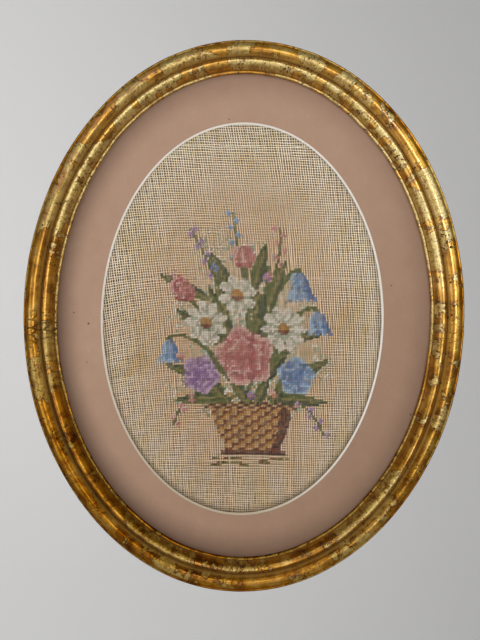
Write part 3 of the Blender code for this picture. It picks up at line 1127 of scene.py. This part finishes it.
def modelStitch():
    # one slanting stitch, a unit long, wide and thick: a fat strand whose ends dip into the canvas
    bpy.ops.object.select_all(action="DESELECT")
    bpy.ops.mesh.primitive_uv_sphere_add(
        segments=yarn["segments"], ring_count=yarn["rings"], radius=0.5, rotation=(0, math.pi / 2, 0),
    )
    pattern = beginPiece("stitch")
    fromMiddle = np.abs(points(pattern)[:, 0])
    for beyond, dip in ((0.3, 0.8), (0.45, 0.9)):
        selectPoints(pattern, fromMiddle > beyond)
        bpy.ops.transform.translate(value=(0, dip, 0))
    bpy.ops.object.mode_set(mode="OBJECT")
    bpy.ops.object.shade_smooth()
    return pattern


def holeCentre(column, row):
    # the middle of the hole above and to the right of a crossing
    i, j = column + canvas["columns"], row + canvas["rows"]
    return np.stack([
        (cross[i, j] + cross[i + 1, j] + cross[i, j + 1] + cross[i + 1, j + 1]) / 4
        for cross in (crossX, crossZ)
    ], axis=1)


def workStitches(pattern, shade, colour, seed):
    # every stitch of one shade: copies of the pattern in a row, then each carried to its place,
    # from the hole below left of its crossing to the hole above right
    worked = np.array(sorted(place for place, used in chart.items() if used == shade))
    count, apart = len(worked), 2.0
    bpy.ops.object.select_all(action="DESELECT")
    pattern.select_set(True)
    bpy.context.view_layer.objects.active = pattern
    bpy.ops.object.duplicate(linked=False)
    piece = bpy.context.object
    piece.name = piece.data.name = "yarn_" + shade
    addArray(piece, count, (0, 0, apart), False)
    place = points(piece)
    which = np.rint(place[:, 2] / apart).astype(int)
    place[:, 2] -= apart * which

    draw = np.random.default_rng(seed)
    start = holeCentre(worked[:, 0] - 1, worked[:, 1] - 1)
    run = holeCentre(worked[:, 0], worked[:, 1]) - start
    middle = start + run / 2
    long = np.hypot(run[:, 0], run[:, 1]) * yarn["lengthOver"]
    turned = np.arctan2(run[:, 1], run[:, 0]) + draw.normal(0, yarn["turnStray"], count)
    along = np.stack([np.cos(turned), np.sin(turned)], axis=1)
    across = np.stack([-np.sin(turned), np.cos(turned)], axis=1)
    wide = yarn["width"] * (1 + yarn["widthStray"] * draw.normal(0, 1, count).clip(-2, 2))
    local = np.stack([place[:, 0] * long[which], place[:, 2] * wide[which]], axis=1)
    flat = middle[which] + local[:, :1] * along[which] + local[:, 1:] * across[which]
    lift = draw.normal(0, 0.03, count).clip(-0.06, 0.06)[which]
    height = yarn["height"] + (lift - place[:, 1]) * yarn["thickness"]
    movePoints(piece, flat[:, 0], -height, flat[:, 1])
    giveAttribute(piece, "tone", draw.normal(0.48, 0.17, count).clip(0.1, 0.9)[which])
    giveAttribute(piece, "strand", np.stack([
        local[:, 0] + draw.uniform(0, 0.5, count)[which], local[:, 1], place[:, 1] * yarn["thickness"],
    ], axis=1))
    piece.data.materials.append(yarnMaterial(shade, colour))
    finishPiece(piece)
    return piece


drawPosy()
stitchPattern = modelStitch()
yarnPieces = [
    workStitches(stitchPattern, shade, colour, 40 + number)
    for number, (shade, colour) in enumerate(yarnShades.items())
]
bpy.data.objects.remove(stitchPattern)
print("posy stitched:", len(chart), "stitches in", len(yarnPieces), "shades")


# Light, camera and surroundings

view = {
    "distance": 1.10,
    "roll": 1.1,
    "besideCentre": -0.0023,
    "belowCentre": 0.0028,
    "photoHeight": 640,
    "metresPerPixel": 0.0006,
    "faceHeight": 0.0083,
    "sensor": 36.0,
}

# Light falls on the picture from windows and pale walls of a room. Each one lies so many degrees
# clockwise from straight above the picture's middle, and so many away from straight in front; then
# come its distance, how wide it is and its radiance.
lamps = {
    "window upper right": (62, 21, 2.0, 0.66, 7.6),
    "pale blind": (62, 11, 2.0, 0.9, 2.4),
    "pale floor": (185, 38, 1.5, 0.9, 1.3),
    "room lower left": (240, 24, 2.0, 1.1, 0.75),
    "room in front": (50, 5, 2.0, 1.0, 0.45),
    "room right": (66, 63, 1.6, 1.2, 1.5),
    "room upper left": (330, 40, 0.8, 0.4, 2.2),
    "window low left": (255, 60, 1.2, 0.9, 2.0),
}
wallLamp = {"place": (-0.95, 0.8, 0.05), "aim": (-0.6, 2.4, 0.0), "across": 0.8, "watts": 17.0}
room = {"colour": "#E9EAEC", "strength": 0.28}
stage = {"across": 30, "floorBelow": 1.15, "wallBehind": 2.4, "wallHigh": 6, "curve": 0.5}


def placeCamera():
    camera = bpy.data.objects.new("camera", bpy.data.cameras.new("camera"))
    bpy.context.scene.collection.objects.link(camera)
    camera.location = (
        frameX + view["besideCentre"],
        -view["distance"] - view["faceHeight"],
        frameZ - view["belowCentre"],
    )
    camera.rotation_euler = (math.pi / 2, -math.radians(view["roll"]), 0)
    camera.data.sensor_width = view["sensor"]
    tall = view["photoHeight"] * view["metresPerPixel"]
    camera.data.lens = view["sensor"] * view["distance"] / tall
    camera.data.clip_start = 0.05
    bpy.context.scene.camera = camera


def addLamp(name, place, aim, across, watts):
    light = bpy.data.objects.new(name, bpy.data.lights.new(name, "AREA"))
    bpy.context.scene.collection.objects.link(light)
    light.location = place
    light.rotation_euler = (Vector(aim) - light.location).to_track_quat("-Z", "Y").to_euler()
    light.data.shape = "DISK"
    light.data.size = across
    light.data.energy = watts
    light.visible_camera = False


def placeLights():
    middle = Vector((frameX, -frameDepth, frameZ))
    for name, (turned, aside, far, across, radiance) in lamps.items():
        turned, aside = math.radians(turned), math.radians(aside)
        away = Vector((
            math.sin(turned) * math.sin(aside), -math.cos(aside), math.cos(turned) * math.sin(aside),
        ))
        addLamp(name, middle + away * far, middle, across, radiance * math.pi ** 2 * (across / 2) ** 2)
    addLamp("wall wash", **wallLamp)
    world = bpy.data.worlds.new("pale room")
    bpy.context.scene.world = world
    world.use_nodes = True
    setInputs(world.node_tree.nodes["Background"], room["colour"], room["strength"])
    bpy.context.scene.view_settings.view_transform = "Standard"


def paintedMaterial():
    # matt wall paint: pale, even, a little rolled texture
    material, shader, add = newMaterial("matt wall paint")
    cloud = add("TexNoise", {}, (add("TexCoord", {}), "Object"), 0.8, 3.0)
    colour = add("ValToRGB", {}, cloud, stops=((0.3, "#D3D2D1"), (0.7, "#D9D8D7")))
    setInputs(shader, baseColor=colour, roughness=0.9)
    return material


def makeStage():
    # a floor well below the hung frame that curves up into a wall far behind it
    bpy.ops.object.select_all(action="DESELECT")
    bpy.ops.mesh.primitive_plane_add(
        size=stage["across"],
        location=(0, stage["wallBehind"] - stage["across"] / 2, -stage["floorBelow"]),
    )
    sweep = beginPiece("stage_sweep")
    selectPoints(sweep, points(sweep)[:, 1] > 0, "EDGE")
    bpy.ops.mesh.extrude_edges_move(TRANSFORM_OT_translate={"value": (0, 0, stage["wallHigh"])})
    bpy.ops.object.mode_set(mode="OBJECT")
    place = points(sweep)
    selectPoints(sweep, (place[:, 1] > 0) & (place[:, 2] < 0), "EDGE")
    bpy.ops.mesh.bevel(offset=stage["curve"], segments=12, affect="EDGES")
    bpy.ops.object.mode_set(mode="OBJECT")
    bpy.ops.object.shade_smooth_by_angle(angle=math.radians(40))
    sweep.data.materials.append(paintedMaterial())


placeCamera()
placeLights()
makeStage()
print("camera, light and stage placed")
